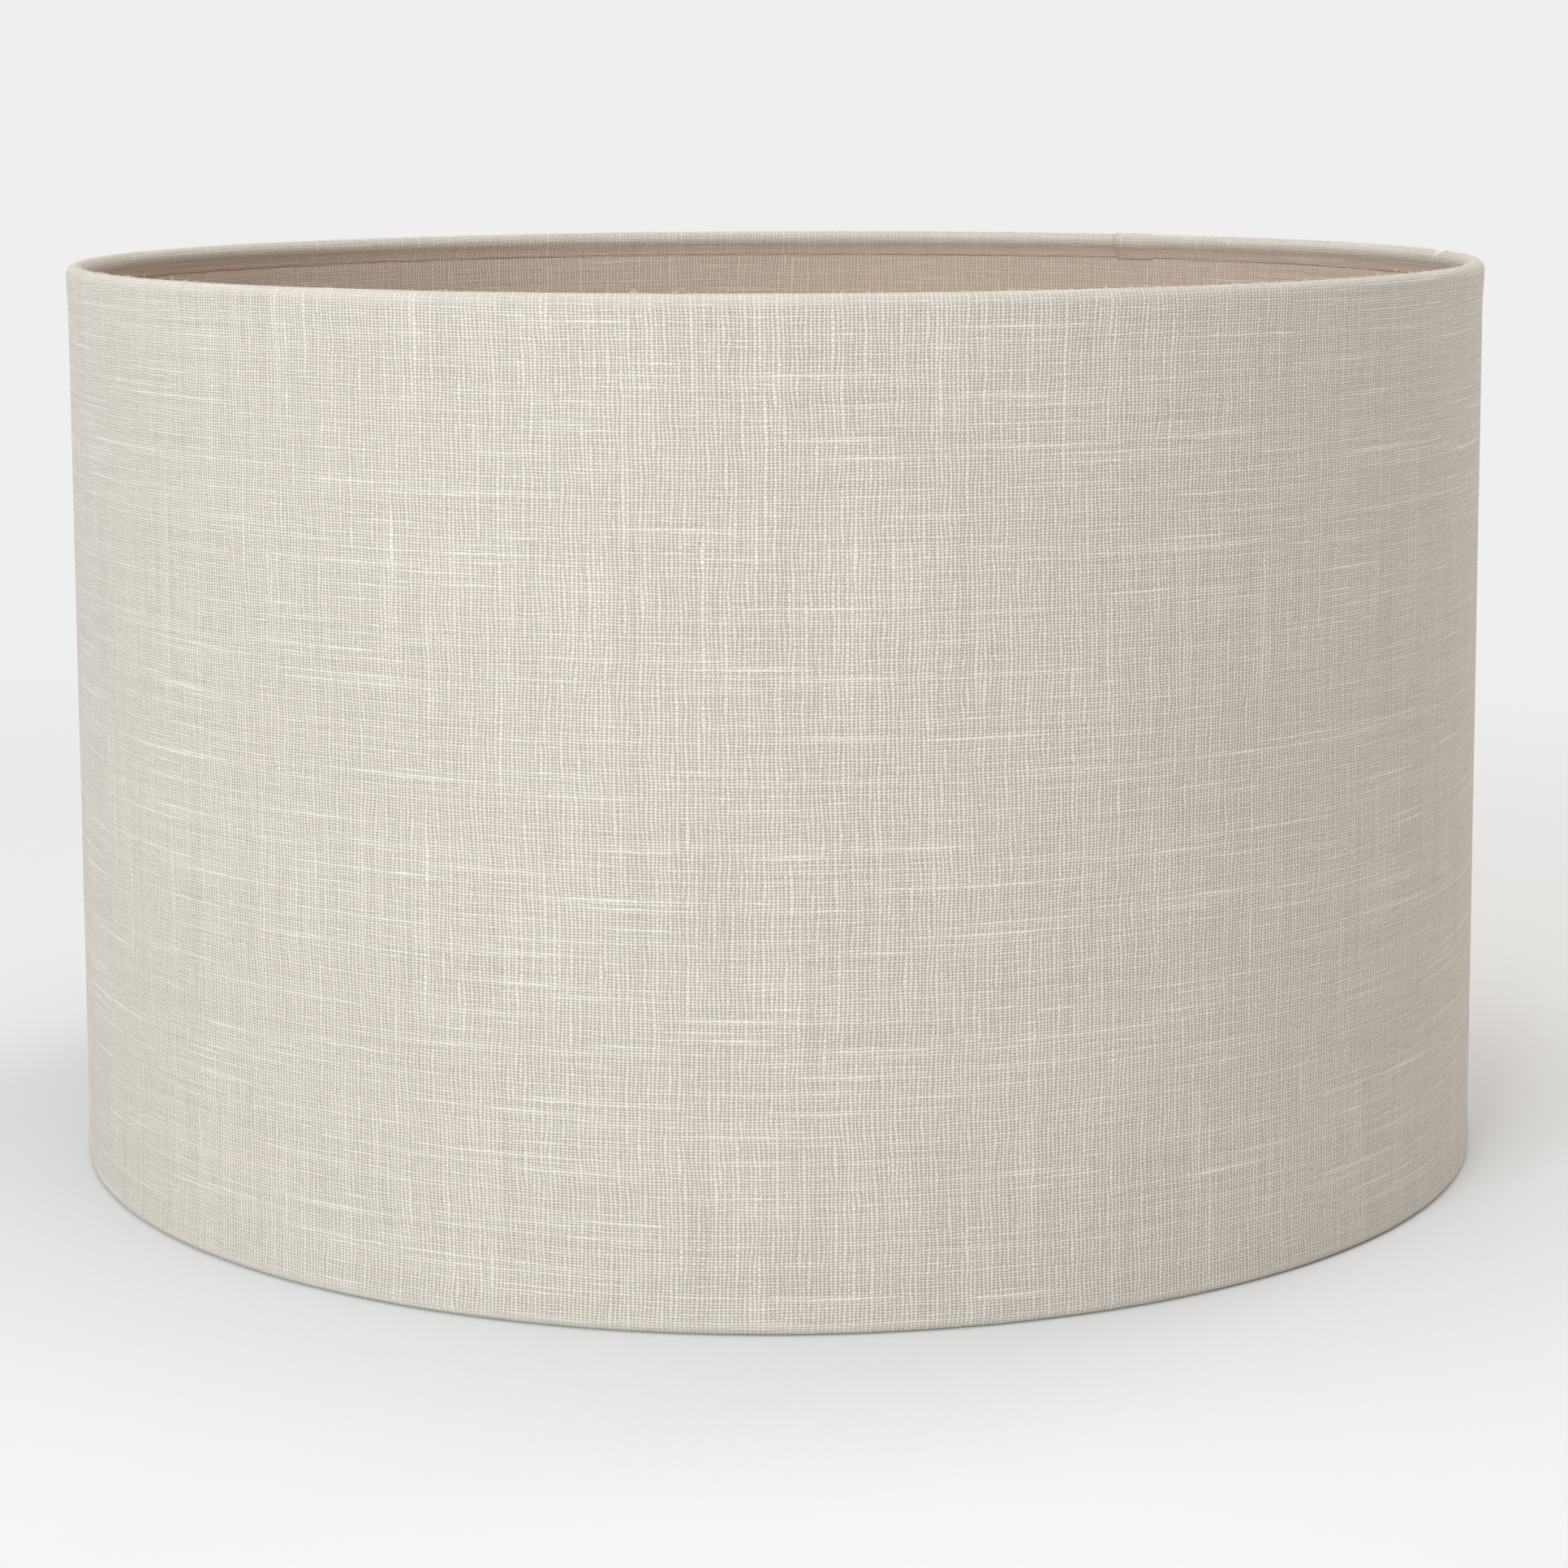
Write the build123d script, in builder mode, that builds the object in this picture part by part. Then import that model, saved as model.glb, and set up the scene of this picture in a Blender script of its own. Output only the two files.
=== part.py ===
from build123d import *

import os
from math import atan2, cos, degrees, hypot, radians, sin

# A drum lamp shade with rolled edges, in millimetres. The shade stands on its bottom rim:
# +Z is up, -Y is the front, and the origin is the centre of the circle it stands on.

# Overall size, over the rolled edges
shade_diameter = 400.0
shade_height = 252.0

# Layers of the wall, from the outside in
cover_thickness = 0.5
panel_thickness = 0.4
lining_thickness = 0.5

# Rolled edges: the cover is turned round a taped wire ring at each end
ring_wire_diameter = 3.2
ring_tape_thickness = 0.2
roll_bulge = 0.4  # the roll stands out this far from the wall
rim_press = 0.08  # the roll is pressed flat by this much where the shade stands

# Upright seam of the cover, at the back and to the right
seam_angle = 53.5  # degrees from +X towards +Y
lap_width = 12.0
seam_tape_margin = 1.5  # from the lap's edges to the tape's, all round
seam_tape_thickness = 0.15

# Carrier: three bent arms that hold a hoop in the middle, let up into the shade
carrier_height = 38.0
arm_angles = {"arm_back": 90.0, "arm_front_left": 210.0, "arm_front_right": 330.0}
arm_wire_diameter = 3.0
arm_run = 30.0  # how far in from the ring the arm climbs
arm_bend_radius = 14.0
hoop_wire_diameter = 3.0
hoop_gap = 4.5  # between the rivets' tails and the hoop
hem_clearance = 0.3  # between an arm and the hem and tape, which are cut away round it

# Gimbal ring: a pressed washer that tilts on two rivets
fitter_hole_diameter = 42.0
gimbal_thickness = 1.2
gimbal_drop = 4.0  # from the tilting axis down to the washer's top face
gimbal_lip_clearance = 0.2  # between the lip's top and the rivets' heads
ear_width = 10.0
ear_rise = 4.0  # above the tilting axis
ear_corner = 1.2
tilt_limit = 25.0  # degrees each way

# Rivets and their brackets
rivet_diameter = 3.0
rivet_head_diameter = 5.2
rivet_head_thickness = 1.2
rivet_clearance = 0.05
bracket_thickness = 1.4
bracket_overhang = 0.5  # the bracket is this much wider than the ear, each side
bracket_gap = 0.4  # between the gimbal ring's ear and its bracket
stop_clearance = 0.3
stop_reach = 2.2  # how far the bracket's stop reaches in over the ear

# Reducer: a loose plastic ring that takes the hole down to a smaller lampholder
reducer_bore_diameter = 29.0
reducer_seat = 3.5  # the flange's overlap on the washer
reducer_flange_thickness = 1.8
reducer_gap = 2.1  # between the flange and the rivets' heads
reducer_wall = 1.5
reducer_spigot_length = 3.0
reducer_clearance = 0.3

# Where the layers and the rings lie
roll_radius = ring_wire_diameter / 2 + ring_tape_thickness + cover_thickness
ring_radius = shade_diameter / 2 - roll_radius
ring_heights = {"bottom": roll_radius - rim_press, "top": shade_height - roll_radius + rim_press}
wall_radius = shade_diameter / 2 - roll_bulge
panel_radius = wall_radius - cover_thickness
lining_radius = panel_radius - panel_thickness
wall_foot = ring_heights["bottom"] + roll_radius
wall_length = shade_height - 2 * wall_foot
notch_width = arm_wire_diameter + 2 * hem_clearance

# Where the carrier's pieces lie
washer_top = carrier_height - gimbal_drop
flange_radius = fitter_hole_diameter / 2 + reducer_seat
rivet_head_face = flange_radius + reducer_gap + rivet_head_thickness
ear_face = rivet_head_face + gimbal_thickness
bracket_face = ear_face + bracket_gap
bracket_back = bracket_face + bracket_thickness
tail_face = bracket_back + rivet_clearance
hoop_inside = tail_face + rivet_head_thickness + hoop_gap
hoop_radius = hoop_inside + hoop_wire_diameter / 2


def upright_plane(angle):
    """An upright plane through the shade's axis, with x outwards and y upwards."""
    outwards = (cos(radians(angle)), sin(radians(angle)), 0)
    sideways = (sin(radians(angle)), -cos(radians(angle)), 0)
    return Plane(origin=(0, 0, 0), x_dir=outwards, z_dir=sideways)


def arm_points():
    """The corners of an arm in its upright plane, from the bottom ring in to the hoop."""
    return [
        (ring_radius, ring_heights["bottom"]),
        (ring_radius - arm_run, carrier_height),
        (hoop_radius, carrier_height),
    ]


def tube_wall(outer_radius, thickness):
    """One layer of the wall, between the two rolled edges, in the open part builder."""
    with BuildSketch(Plane.XY.offset(wall_foot)) as layer:
        Circle(outer_radius)
        Circle(outer_radius - thickness, mode=Mode.SUBTRACT)
    extrude(layer.sketch, amount=wall_length)


pieces = {}

# Outer cover: one piece of cloth, a wall with a fold round the ring at each end
with BuildPart() as outer_cover:
    with BuildSketch(Plane.XZ):
        with Locations((wall_radius - cover_thickness / 2, shade_height / 2)):
            Rectangle(cover_thickness, ring_heights["top"] - ring_heights["bottom"])
        for height in ring_heights.values():
            with Locations((ring_radius, height)):
                Circle(roll_radius)
        for height in ring_heights.values():
            with Locations((ring_radius, height)):
                Circle(roll_radius - cover_thickness, mode=Mode.SUBTRACT)
        with Locations((ring_radius, shade_height / 2)):
            Rectangle(4 * roll_radius, shade_height, mode=Mode.INTERSECT)
    revolve(axis=Axis.Z)
    lap_height = seam_tape_thickness + cover_thickness
    lap_turn = degrees(lap_width / wall_radius)
    tape_turn = degrees((lap_width - 2 * seam_tape_margin) / wall_radius)
    tape_length = wall_length - 2 * seam_tape_margin
    lap_start = upright_plane(seam_angle - lap_turn / 2)
    with BuildSketch(lap_start):
        with Locations((wall_radius + lap_height / 2 - cover_thickness / 4, shade_height / 2)):
            Rectangle(lap_height + cover_thickness / 2, wall_length)
    revolve(axis=Axis.Z, revolution_arc=lap_turn)
    with BuildSketch(upright_plane(seam_angle - tape_turn / 2)):
        with Locations((wall_radius + seam_tape_thickness / 2, shade_height / 2)):
            Rectangle(seam_tape_thickness, tape_length)
    revolve(axis=Axis.Z, revolution_arc=tape_turn, mode=Mode.SUBTRACT)
    for angle in arm_angles.values():
        upright = upright_plane(angle)
        start = upright.from_local_coords(Vector(ring_radius, ring_heights["bottom"]))
        climb = Vector(-arm_run, carrier_height - ring_heights["bottom"])
        along_arm = upright.from_local_coords(climb)
        with BuildSketch(Plane(origin=start, x_dir=upright.z_dir, z_dir=along_arm)):
            Rectangle(notch_width, notch_width)
        extrude(amount=2 * roll_radius, mode=Mode.SUBTRACT)
pieces["outer_cover"] = outer_cover

# Seam tape: holds the lap of the cover down
with BuildPart() as seam_tape:
    with BuildSketch(upright_plane(seam_angle - tape_turn / 2)):
        with Locations((wall_radius + seam_tape_thickness / 2, shade_height / 2)):
            Rectangle(seam_tape_thickness, tape_length)
    revolve(axis=Axis.Z, revolution_arc=tape_turn)
pieces["seam_tape"] = seam_tape

# Backing panel: the stiff film that the cover and the lining are laminated to
with BuildPart() as backing_panel:
    tube_wall(panel_radius, panel_thickness)
pieces["backing_panel"] = backing_panel

# Lining: the cloth inside
with BuildPart() as lining:
    tube_wall(lining_radius, lining_thickness)
pieces["lining"] = lining

# Wire rings, with the tape that is wound round each before the hem is turned over it.
# The bottom ring's tape stops at each side of an arm.
arm_spacing = 360 / len(arm_angles)
tape_gap = degrees(notch_width / ring_radius)
tape_spans = {
    "bottom": [(angle + tape_gap / 2, arm_spacing - tape_gap) for angle in arm_angles.values()],
    "top": [(0, 360)],
}
for end, height in ring_heights.items():
    with BuildPart() as ring:
        with BuildSketch(Plane.XZ):
            with Locations((ring_radius, height)):
                Circle(ring_wire_diameter / 2)
        revolve(axis=Axis.Z)
    pieces[f"{end}_ring"] = ring
    with BuildPart() as ring_tape:
        for first, turn in tape_spans[end]:
            with BuildSketch(upright_plane(first)):
                with Locations((ring_radius, height)):
                    Circle(ring_wire_diameter / 2 + ring_tape_thickness)
                    Circle(ring_wire_diameter / 2, mode=Mode.SUBTRACT)
            revolve(axis=Axis.Z, revolution_arc=turn)
    pieces[f"{end}_ring_tape"] = ring_tape

# Carrier hoop: a closed wire round the gimbal ring
with BuildPart() as carrier_hoop:
    with BuildSketch(Plane.XZ):
        with Locations((hoop_radius, carrier_height)):
            Circle(hoop_wire_diameter / 2)
    revolve(axis=Axis.Z)
pieces["carrier_hoop"] = carrier_hoop

# Arms: bent wires, their ends shaped to sit against the bottom ring and the hoop
for name, angle in arm_angles.items():
    with BuildPart() as arm:
        with BuildLine(upright_plane(angle)) as arm_path:
            FilletPolyline(*arm_points(), radius=arm_bend_radius)
        with BuildSketch(Plane(origin=arm_path.line @ 0, z_dir=arm_path.line % 0)):
            Circle(arm_wire_diameter / 2)
        sweep()
        with Locations((0, 0, ring_heights["bottom"])):
            Torus(ring_radius, ring_wire_diameter / 2, mode=Mode.SUBTRACT)
        with Locations((0, 0, carrier_height)):
            Torus(hoop_radius, hoop_wire_diameter / 2, mode=Mode.SUBTRACT)
    pieces[name] = arm

# Gimbal ring: a washer with a lip round its rim and two ears turned up for the rivets
with BuildPart() as gimbal_ring:
    with BuildSketch(Plane.XY.offset(washer_top - gimbal_thickness)):
        Circle(ear_face)
        Circle(fitter_hole_diameter / 2, mode=Mode.SUBTRACT)
    extrude(amount=gimbal_thickness)
    with BuildSketch(Plane.XY.offset(washer_top)):
        Circle(ear_face)
        Circle(rivet_head_face, mode=Mode.SUBTRACT)
    extrude(amount=gimbal_drop - rivet_head_diameter / 2 - gimbal_lip_clearance)
    for side in (-1, 1):
        ear_middle = side * (ear_face - gimbal_thickness / 2)
        ear_height = gimbal_drop + gimbal_thickness + ear_rise
        with BuildSketch(Plane.YZ.offset(ear_middle)):
            with Locations((0, carrier_height + ear_rise - ear_height / 2)):
                Rectangle(ear_width, ear_height)
            with Locations((0, carrier_height)):
                Circle(rivet_diameter / 2, mode=Mode.SUBTRACT)
        extrude(amount=gimbal_thickness / 2, both=True)
    top_corners = gimbal_ring.edges().filter_by(Axis.X).group_by(Axis.Z)[-1]
    fillet(top_corners, radius=ear_corner)
pieces["gimbal_ring"] = gimbal_ring

# Rivets: fixed in the ears, free to turn in the brackets, headed on both sides
for name, side in {"rivet_left": -1, "rivet_right": 1}.items():
    with BuildPart() as rivet:
        with BuildSketch(Plane.YZ.offset(side * rivet_head_face)):
            with Locations((0, carrier_height)):
                Circle(rivet_diameter / 2)
        extrude(amount=side * (tail_face - rivet_head_face))
        for face, way in ((rivet_head_face, -side), (tail_face, side)):
            with BuildSketch(Plane.YZ.offset(side * face)):
                with Locations((0, carrier_height)):
                    Circle(rivet_head_diameter / 2)
            extrude(amount=way * rivet_head_thickness)
        head_rims = rivet.edges().filter_by(GeomType.CIRCLE).group_by(Axis.X)
        fillet(head_rims[0] + head_rims[-1], radius=rivet_head_thickness / 2)
    pieces[name] = rivet

# Brackets: a stop over the ear, a plate for the rivet, and a foot that seats on the hoop
for name, side in {"bracket_left": -1, "bracket_right": 1}.items():
    corner_reach = hypot(ear_width / 2, ear_rise)
    corner_angle = degrees(atan2(ear_rise, ear_width / 2))
    stop_height = corner_reach * sin(radians(corner_angle + tilt_limit)) + stop_clearance
    foot_top = -rivet_head_diameter / 2 - stop_clearance
    foot_bottom = foot_top - bracket_thickness
    stop_top = stop_height + bracket_thickness
    seat_top = -hoop_wire_diameter / 4
    with BuildPart() as bracket:
        with BuildSketch(Plane.XZ):
            with BuildLine():
                Polyline(
                    (side * (bracket_face - stop_reach), carrier_height + stop_height),
                    (side * bracket_face, carrier_height + stop_height),
                    (side * bracket_face, carrier_height + foot_bottom),
                    (side * hoop_radius, carrier_height + foot_bottom),
                    (side * hoop_radius, carrier_height + seat_top),
                    (side * hoop_inside, carrier_height + seat_top),
                    (side * hoop_inside, carrier_height + foot_top),
                    (side * bracket_back, carrier_height + foot_top),
                    (side * bracket_back, carrier_height + stop_top),
                    (side * (bracket_face - stop_reach), carrier_height + stop_top),
                    close=True,
                )
            make_face()
        extrude(amount=ear_width / 2 + bracket_overhang, both=True)
        with Locations((0, 0, carrier_height)):
            Torus(hoop_radius, hoop_wire_diameter / 2, mode=Mode.SUBTRACT)
        with BuildSketch(Plane.YZ.offset(side * bracket_face)):
            with Locations((0, carrier_height)):
                Circle(rivet_diameter / 2 + rivet_clearance)
        extrude(amount=side * bracket_thickness, mode=Mode.SUBTRACT)
    pieces[name] = bracket

# Reducer ring: a flange that lies on the washer, a spigot in its hole and a collar round the bore
with BuildPart() as reducer_ring:
    spigot_radius = fitter_hole_diameter / 2 - reducer_clearance
    bore_radius = reducer_bore_diameter / 2
    with BuildSketch(Plane.XY.offset(washer_top)):
        Circle(flange_radius)
        Circle(bore_radius, mode=Mode.SUBTRACT)
    extrude(amount=reducer_flange_thickness)
    for outer_radius in (spigot_radius, bore_radius + reducer_wall):
        with BuildSketch(Plane.XY.offset(washer_top)):
            Circle(outer_radius)
            Circle(max(outer_radius - reducer_wall, bore_radius), mode=Mode.SUBTRACT)
        extrude(amount=-reducer_spigot_length)
pieces["reducer_ring"] = reducer_ring

os.makedirs("parts", exist_ok=True)
for label, piece in pieces.items():
    piece.part.label = label
    export_step(piece.part, f"parts/{label}.step")
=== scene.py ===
from math import atan2, cos, pi, radians, sin
from random import Random

import bmesh
import bpy
from bpy.props import FloatProperty, FloatVectorProperty, IntProperty, PointerProperty
from mathutils import Euler, Matrix, Vector, noise


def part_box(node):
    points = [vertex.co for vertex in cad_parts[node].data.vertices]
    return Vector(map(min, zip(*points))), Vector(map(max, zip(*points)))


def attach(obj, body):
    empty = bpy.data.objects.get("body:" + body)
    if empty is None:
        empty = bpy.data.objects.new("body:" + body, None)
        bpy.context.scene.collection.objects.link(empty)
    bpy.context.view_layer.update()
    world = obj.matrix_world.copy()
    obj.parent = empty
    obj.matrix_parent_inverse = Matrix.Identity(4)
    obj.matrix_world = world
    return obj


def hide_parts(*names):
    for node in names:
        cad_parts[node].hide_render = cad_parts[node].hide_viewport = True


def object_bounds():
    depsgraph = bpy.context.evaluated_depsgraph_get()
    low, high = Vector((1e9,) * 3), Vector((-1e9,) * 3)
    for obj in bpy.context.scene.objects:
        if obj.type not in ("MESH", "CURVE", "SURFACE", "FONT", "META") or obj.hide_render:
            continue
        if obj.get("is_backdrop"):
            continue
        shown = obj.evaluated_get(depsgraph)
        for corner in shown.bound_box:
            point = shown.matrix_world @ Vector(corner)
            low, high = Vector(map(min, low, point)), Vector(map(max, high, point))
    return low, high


bl_info = {
    "name": "Drum Lamp Shade",
    "version": (1, 0, 0),
    "blender": (4, 5, 0),
    "location": "3D View > Sidebar > Shade",
    "description": "Linen drum lamp shade with rolled edges, a wire carrier and a gimbal fitter",
    "category": "Object",
}

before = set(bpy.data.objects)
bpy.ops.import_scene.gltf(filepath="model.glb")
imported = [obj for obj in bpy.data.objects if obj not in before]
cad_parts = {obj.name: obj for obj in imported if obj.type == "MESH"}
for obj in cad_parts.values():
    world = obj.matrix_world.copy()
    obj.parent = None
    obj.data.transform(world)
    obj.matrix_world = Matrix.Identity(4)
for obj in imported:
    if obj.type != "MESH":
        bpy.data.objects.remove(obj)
cad_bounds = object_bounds()

MM = 0.001
TURN = 2 * pi


def node_box(name):
    """The lowest and highest corner of a CAD node."""
    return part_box(name)


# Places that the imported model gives
TOP_RING = node_box("top_ring")
BOTTOM_RING = node_box("bottom_ring")
RING_WIRE = TOP_RING[1].z - TOP_RING[0].z
RING_RADIUS = TOP_RING[1].x - RING_WIRE / 2
RING_HEIGHT = {
    "top": (TOP_RING[0].z + TOP_RING[1].z) / 2,
    "bottom": (BOTTOM_RING[0].z + BOTTOM_RING[1].z) / 2,
}
PANEL = node_box("backing_panel")
LINING = node_box("lining")
TAPED_WIRE = node_box("top_ring_tape")[1].x - RING_RADIUS
HOOP = node_box("carrier_hoop")
HOOP_WIRE = HOOP[1].z - HOOP[0].z
HOOP_RADIUS = HOOP[1].x - HOOP_WIRE / 2
HOOP_HEIGHT = (HOOP[0].z + HOOP[1].z) / 2


def bearing(name):
    """The angle of a CAD node round the shade's axis, from +X towards +Y, in radians."""
    low, high = node_box(name)
    return atan2(low.y + high.y, low.x + high.x)


# Angles round a ring, from straight out, over the rim and in: where the hem leaves the ring,
# where the painted shade under the roll starts and is full, and where the notches for the arms
# start
HEM_LEAVES = radians(228.0)
UNDER_SHADE_STARTS = radians(200.0)
UNDER_SHADE_FULL = radians(262.0)
NOTCH_STARTS = radians(162.0)

# The hem's loose end: its bend's share of the way to the lining, and the share of its length
# that then lies along the lining, with how much that varies
TAIL_BEND = 0.90
TAIL_LIES = 0.62
TAIL_VARIES = 0.05

# The hem's pressed edge: how wide it is, and the share of the thickness that is left there
PRESSED_WIDTH = 3.0 * MM
PRESSED_SHARE = 0.04

CLOTH_GAP = 0.05 * MM  # between cloths that lie on each other
LAP_RAMP = 2.6 * MM  # over which the cover comes down from its lap
LINING_RAMP = 2 * MM  # the same for the lining
HEM_OVERRUN = 0.8 * MM  # how far the hems run on past one turn, under the lap
FREE_EDGE = 3 * MM  # from the lap's free edge to where its ragged line has died out
LAP_EDGE_RAGGED = 0.35 * MM
LINING_EDGE_RAGGED = 0.3 * MM
WALL_WAVE = 0.07 * MM
LINING_WAVE = 0.06 * MM
ROLL_PUFF = 0.05 * MM
ROLL_FINE_PUFF = 0.03 * MM
FLUSH_RUN = 9 * MM  # over which the wall swells to meet the roll

# Cells of the flat cuts
COVER_COLUMNS, COVER_ROWS, HEM_ROWS = 520, 30, 18
LINING_COLUMNS, LINING_ROWS = 420, 40

# How strongly slubs stand out in colour, and the weave's relief
COVER_SLUBS = 0.24
LINING_SLUBS = 0.12
WEAVE_RELIEF = 0.26 * MM

# Fibres
FIBRE_SEED = 11
FIBRE_RADIUS = 0.038 * MM
WALL_FIBRE_LEVELS = (12 * MM, 240 * MM)
FRAY_BEARING = radians(7.2)
FRAY_STRANDS = 34
FRAY_SPREAD = 1.5
FRAY_RADIUS = 0.06 * MM

# Weld beads, as shares of the wire's radius, and how uneven they are
BEAD_WIDTH = 1.22
BEAD_LENGTH = 0.85
BEAD_UNEVEN = 0.10

SEAM = bearing("seam_tape")
ARMS = {name: bearing(name) for name in ("arm_back", "arm_front_left", "arm_front_right")}


def length(name, description, default):
    """A size in metres, for the panel."""
    return FloatProperty(
        name=name, description=description, default=default, unit="LENGTH", precision=5
    )


def colour(name, description, default):
    """A colour, for the panel."""
    return FloatVectorProperty(
        name=name, description=description, default=default, subtype="COLOR", size=3, min=0, max=1
    )


class ShadeSizes(bpy.types.PropertyGroup):
    """Sizes of the cloth and of the small pieces on it."""

    cloth: length("Cloth thickness", "Thickness of the cover and of the lining", 0.5 * MM)
    warp_pitch: length("Warp pitch", "From one upright thread to the next", 1.07 * MM)
    weft_pitch: length("Weft pitch", "From one level thread to the next", 0.70 * MM)
    lap: length("Lap", "Width of the cover's lap at its seam", 12 * MM)
    lining_lap: length("Lining lap", "Width of the lining's lap", 10 * MM)
    tape_lift: length("Tape lift", "Thickness of the tape under the cover's lap", 0.15 * MM)
    roll_step: length("Roll step", "Height of the lap's edge on the rolled rims", 0.32 * MM)
    arm_run: length("Arm run", "How far in from the ring an arm climbs", 30 * MM)
    hem_tail: length("Hem tail", "Cloth of the hem from the ring to its edge", 4.4 * MM)
    notch: length("Notch", "Width of the hem's notch at an arm", 3.8 * MM)
    fibres: IntProperty(name="Fibres", description="Stray fibres on the rims", default=900, min=0)
    wall_fibres: IntProperty(
        name="Wall fibres", description="Stray fibres on the wall", default=150, min=0
    )


class ShadeColours(bpy.types.PropertyGroup):
    """Colours of the finishes."""

    linen: colour("Linen", "Threads of the cover", (0.616, 0.565, 0.497))
    # The lining is the same linen as the cover; its redder colour is painted shade and warm bounce
    # light from inside the drum
    lining: colour("Lining", "Threads of the lining", (0.602, 0.466, 0.376))
    # Painted shade: the dark colour laid in the gaps between the threads, where the pale backing
    # would show
    gap: colour("Gap", "Between the threads", (0.305, 0.270, 0.232))
    slub: colour("Slub", "Swollen stretches of the threads", (0.815, 0.790, 0.745))
    coat: colour("Powder coat", "Coated wire and pressings", (0.80, 0.80, 0.78))
    zinc: colour("Zinc", "Plated rivets", (0.63, 0.64, 0.65))
    plastic: colour("Plastic", "Reducer ring", (0.82, 0.82, 0.80))
    film: colour("Film", "Backing panel", (0.80, 0.80, 0.77))
    tape: colour("Tape", "Tape on the rings and under the lap", (0.74, 0.70, 0.60))
    floor: colour("Floor", "Floor round the shade", (0.690, 0.694, 0.702))
    backdrop: colour("Backdrop", "What lies behind the shade", (0.863, 0.863, 0.863))


class Number:
    """A number that varies over a surface: Python's operators on it add Math nodes."""

    def __init__(self, finish, socket):
        self.finish = finish
        self.socket = socket

    def math(self, operation, *values, clamp=False):
        sockets = dict(enumerate(values))
        node = self.finish.add(
            "ShaderNodeMath", {"operation": operation, "use_clamp": clamp}, sockets
        )
        return Number(self.finish, node.outputs[0])

    def __add__(self, other):
        return self.math("ADD", self, other)

    def __radd__(self, other):
        return self.math("ADD", other, self)

    def __sub__(self, other):
        return self.math("SUBTRACT", self, other)

    def __rsub__(self, other):
        return self.math("SUBTRACT", other, self)

    def __mul__(self, other):
        return self.math("MULTIPLY", self, other)

    def __rmul__(self, other):
        return self.math("MULTIPLY", other, self)

    def __truediv__(self, other):
        return self.math("DIVIDE", self, other)

    def floor(self):
        return self.math("FLOOR", self)

    def fraction(self):
        return self.math("FRACT", self)

    def sine(self):
        return self.math("SINE", self)

    def size(self):
        return self.math("ABSOLUTE", self)

    def root(self):
        return self.math("SQRT", self)

    def larger(self, other):
        return self.math("MAXIMUM", self, other)

    def held(self):
        """The number kept between 0 and 1."""
        return self.math("ADD", self, 0.0, clamp=True)

    def step(self, start, end):
        """0 below start, 1 above end, and smooth between them."""
        node = self.finish.add(
            "ShaderNodeMapRange",
            {"interpolation_type": "SMOOTHSTEP"},
            {"Value": self, "From Min": start, "From Max": end},
        )
        return Number(self.finish, node.outputs["Result"])


class Finish:
    """A material under construction. Uniform values go straight into its shader's sockets."""

    def __init__(self, name, **sockets):
        self.material = bpy.data.materials.new(name)
        self.material.use_nodes = True
        self.nodes = self.material.node_tree.nodes
        self.links = self.material.node_tree.links
        self.nodes.clear()
        named = {key.replace("_", " "): value for key, value in sockets.items()}
        self.shader = self.add("ShaderNodeBsdfPrincipled", {}, named)
        self.output = self.add("ShaderNodeOutputMaterial", {}, {"Surface": self.shader.outputs[0]})

    def add(self, kind, settings, sockets):
        """Adds a node: its settings first, then the values or links of its sockets."""
        node = self.nodes.new(kind)
        for name, value in settings.items():
            setattr(node, name, value)
        for key, value in sockets.items():
            self.feed(node, key, value)
        return node

    def feed(self, node, key, value):
        """Puts a value or a link into one socket."""
        value = value.socket if isinstance(value, Number) else value
        if isinstance(value, bpy.types.NodeSocket):
            self.links.new(value, node.inputs[key])
        else:
            node.inputs[key].default_value = value

    def parts(self, vector):
        """The three numbers of a vector."""
        node = self.add("ShaderNodeSeparateXYZ", {}, {0: vector})
        return [Number(self, socket) for socket in node.outputs]

    def cloth_place(self):
        """The place on the flat cut of the cloth, in metres."""
        node = self.add("ShaderNodeUVMap", {"uv_map": "cloth"}, {})
        return self.parts(node.outputs[0])[:2]

    def object_place(self):
        """The place in the shade's own frame, in metres."""
        node = self.add("ShaderNodeTexCoord", {}, {})
        return self.parts(node.outputs["Object"])

    def noise(self, x, y, z=0.0, detail=1.0, roughness=0.5):
        """Smooth noise about 0, from -0.5 to 0.5."""
        place = self.add("ShaderNodeCombineXYZ", {}, {0: x, 1: y, 2: z})
        node = self.add(
            "ShaderNodeTexNoise",
            {"noise_dimensions": "3D"},
            {
                "Vector": place.outputs[0],
                "Scale": 1.0,
                "Detail": detail,
                "Roughness": roughness,
            },
        )
        return Number(self, node.outputs[0]) - 0.5

    def mix(self, factor, first, second):
        """A colour between two colours."""
        node = self.add(
            "ShaderNodeMix", {"data_type": "RGBA"}, {0: factor, 6: rgba(first), 7: rgba(second)}
        )
        return node.outputs[2]

    def scaled(self, shade, factor):
        """A colour made lighter or darker."""
        node = self.add(
            "ShaderNodeVectorMath",
            {"operation": "SCALE"},
            {0: shade, "Scale": factor},
        )
        return node.outputs[0]

    def surface(self, shade, rough, height, distance, strength=1.0):
        """Joins colour, roughness and relief to the shader."""
        self.feed(self.shader, "Base Color", shade)
        self.feed(self.shader, "Roughness", rough)
        bump = self.add(
            "ShaderNodeBump", {}, {"Strength": strength, "Distance": distance, "Height": height}
        )
        self.feed(self.shader, "Normal", bump.outputs[0])
        return self.material


def rgba(shade):
    """A colour with its alpha, or a link as it is."""
    if isinstance(shade, bpy.types.NodeSocket):
        return shade
    return (*shade, 1.0)


def rounded(side, width):
    """The height of a thread across its width: 1 at its middle and 0 at its sides."""
    return (1.0 - (side / width) * (side / width)).held().root()


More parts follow.
